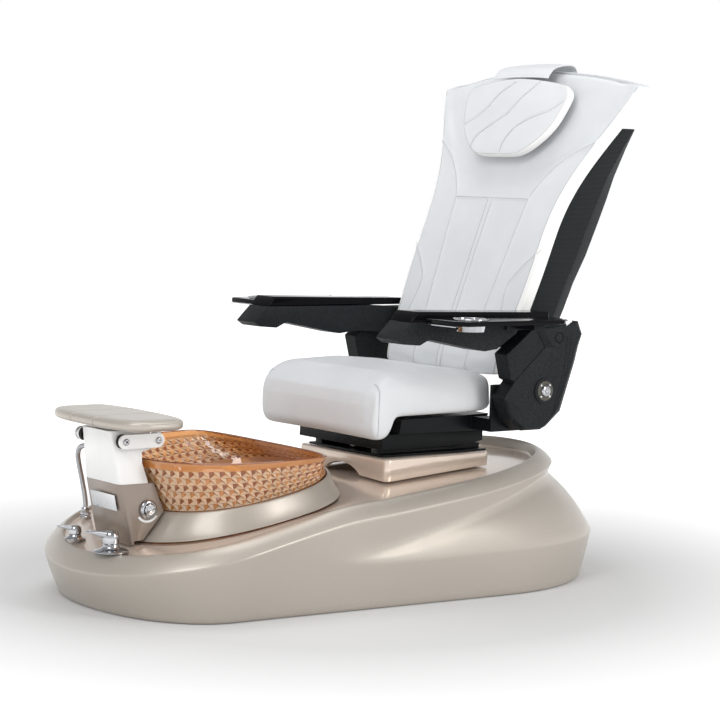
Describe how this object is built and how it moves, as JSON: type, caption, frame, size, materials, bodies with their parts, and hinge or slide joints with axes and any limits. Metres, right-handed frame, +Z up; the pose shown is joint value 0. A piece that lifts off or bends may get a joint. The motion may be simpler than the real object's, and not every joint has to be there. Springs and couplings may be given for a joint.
{
  "type": "pedicure spa chair",
  "caption": "Pedicure spa chair: moulded base with glass foot bowl, footrest column and taps, reclining massage seat on a slide with lifting armrests and swivel trays.",
  "frame": {"origin": "on the floor under the middle of the base, on the underside of the base pan", "axes": "+Z up, the sitter faces -Y, +X is the sitter's left"},
  "size_m": [1, 1.519, 1.362],
  "materials": {
    "champagne_shell": "satin pearlescent gel coat",
    "white_leather": "soft grain, semi matte",
    "white_plastic": "gloss",
    "black_plastic": "fine textured",
    "black_gloss": "piano gloss",
    "chrome": "polished",
    "steel": "plain",
    "amber_glass": "pressed diamond facets",
    "rubber": "matte",
    "grey_plastic": "plain",
    "metal_hose": "interlocked strip"
  },
  "bodies": {
    "base": {"base_shell": "champagne_shell", "base_pan": "grey_plastic", "bowl_collar": "champagne_shell", "bowl": "amber_glass", "drain_strainer": "chrome", "drain_pump": "black_plastic", "jet_motor": "black_plastic", "jet_cover": "white_plastic", "chassis_frame": "steel", "power_box": "grey_plastic", "seat_platform": "champagne_shell", "slide_base": "black_plastic", "column_lower": "champagne_shell", "column_upper": "white_plastic", "name_plate": "chrome", "button_bezel": "chrome", "left_link_spacer": "rubber", "right_link_spacer": "rubber", "mixer_escutcheon": "chrome", "diverter_base": "chrome", "hose_fitting": "chrome", "shower_hose": "metal_hose", "shower_socket": "chrome"},
    "impeller": {"jet_impeller": "white_plastic"},
    "flush_button": {"flush_button": "chrome"},
    "mixer": {"mixer_lever": "chrome"},
    "diverter": {"diverter_lever": "chrome"},
    "hand_shower": {"hand_shower": "chrome"},
    "footrest_links": {"link_shaft": "chrome", "left_link_plate": "white_plastic", "right_link_plate": "white_plastic", "link_lock_knob": "chrome"},
    "footrest_pad": {"footrest_center": "champagne_shell", "footrest_left_end": "champagne_shell", "footrest_right_end": "champagne_shell", "pad_bracket": "steel"},
    "carriage": {"carriage_base": "black_plastic", "seat_pan": "black_plastic", "slide_motor": "steel", "seat_cushion": "white_leather", "left_arm_housing": "black_plastic", "right_arm_housing": "black_plastic", "left_pivot_flange": "black_plastic", "right_pivot_flange": "black_plastic"},
    "backrest": {"back_cushion": "white_leather", "back_shell": "black_plastic", "back_frame": "steel", "pillow_strap": "white_leather"},
    "massager": {"massage_carriage": "grey_plastic"},
    "pillow": {"pillow": "white_leather"},
    "left_arm": {"left_arm_frame": "black_plastic", "left_arm_pad": "black_gloss", "left_tray_bracket": "black_plastic"},
    "right_arm": {"right_arm_frame": "black_plastic", "right_arm_pad": "black_gloss", "right_tray_bracket": "black_plastic"},
    "left_tray": {"left_tray": "black_gloss", "left_cup_holder": "chrome"},
    "right_tray": {"right_tray": "black_gloss", "right_cup_holder": "chrome"}
  },
  "joints": [
    {"name": "seat_slide", "type": "slide", "parent": "base", "child": "carriage", "axis": [0, 1, 0], "range_m": [-0.1, 0.04]},
    {"name": "recline", "type": "hinge", "parent": "carriage", "child": "backrest", "pos_m": [0, 0.424, 0.51], "axis": [-1, 0, 0], "range_deg": [0, 28]},
    {"name": "massage_travel", "type": "slide", "parent": "backrest", "child": "massager", "axis": [0, 0.3628, 0.9319], "range_m": [-0.03, 0.12]},
    {"name": "pillow_height", "type": "slide", "parent": "backrest", "child": "pillow", "axis": [0, 0.3628, 0.9319], "range_m": [-0.05, 0]},
    {"name": "left_arm_lift", "type": "hinge", "parent": "carriage", "child": "left_arm", "pos_m": [0.3, 0.472, 0.645], "axis": [-1, 0, 0], "range_deg": [0, 62]},
    {"name": "right_arm_lift", "type": "hinge", "parent": "carriage", "child": "right_arm", "pos_m": [-0.3, 0.472, 0.645], "axis": [-1, 0, 0], "range_deg": [0, 62]},
    {"name": "left_tray_swivel", "type": "hinge", "parent": "left_arm", "child": "left_tray", "pos_m": [0.404, 0.338, 0.698], "axis": [0, 0, 1], "range_deg": [0, 80]},
    {"name": "right_tray_swivel", "type": "hinge", "parent": "right_arm", "child": "right_tray", "pos_m": [-0.404, 0.338, 0.698], "axis": [0, 0, -1], "range_deg": [0, 80]},
    {"name": "footrest_lift", "type": "hinge", "parent": "base", "child": "footrest_links", "pos_m": [0, -0.665, 0.407], "axis": [1, 0, 0], "range_deg": [0, 14]},
    {"name": "footrest_tilt", "type": "hinge", "parent": "footrest_links", "child": "footrest_pad", "pos_m": [0, -0.575, 0.407], "axis": [-1, 0, 0], "range_deg": [0, 35]},
    {"name": "mixer_turn", "type": "hinge", "parent": "base", "child": "mixer", "pos_m": [0.084, -0.692, 0.17], "axis": [0, 0, 1], "range_deg": [-40, 40]},
    {"name": "diverter_turn", "type": "hinge", "parent": "base", "child": "diverter", "pos_m": [-0.112, -0.676, 0.17], "axis": [0, 0, 1], "range_deg": [-30, 60]},
    {"name": "button_press", "type": "slide", "parent": "base", "child": "flush_button", "axis": [-1, 0, 0], "range_m": [0, 0.003], "stiffness_N_per_m": 400},
    {"name": "shower_twist", "type": "hinge", "parent": "base", "child": "hand_shower", "pos_m": [-0.12, -0.622, 0.366], "axis": [1, 0, 0], "range_deg": [-60, 60]},
    {"name": "impeller_spin", "type": "hinge", "parent": "base", "child": "impeller", "pos_m": [-0.096, -0.31, 0.195], "axis": [0, 0, 1], "continuous": true}
  ]
}
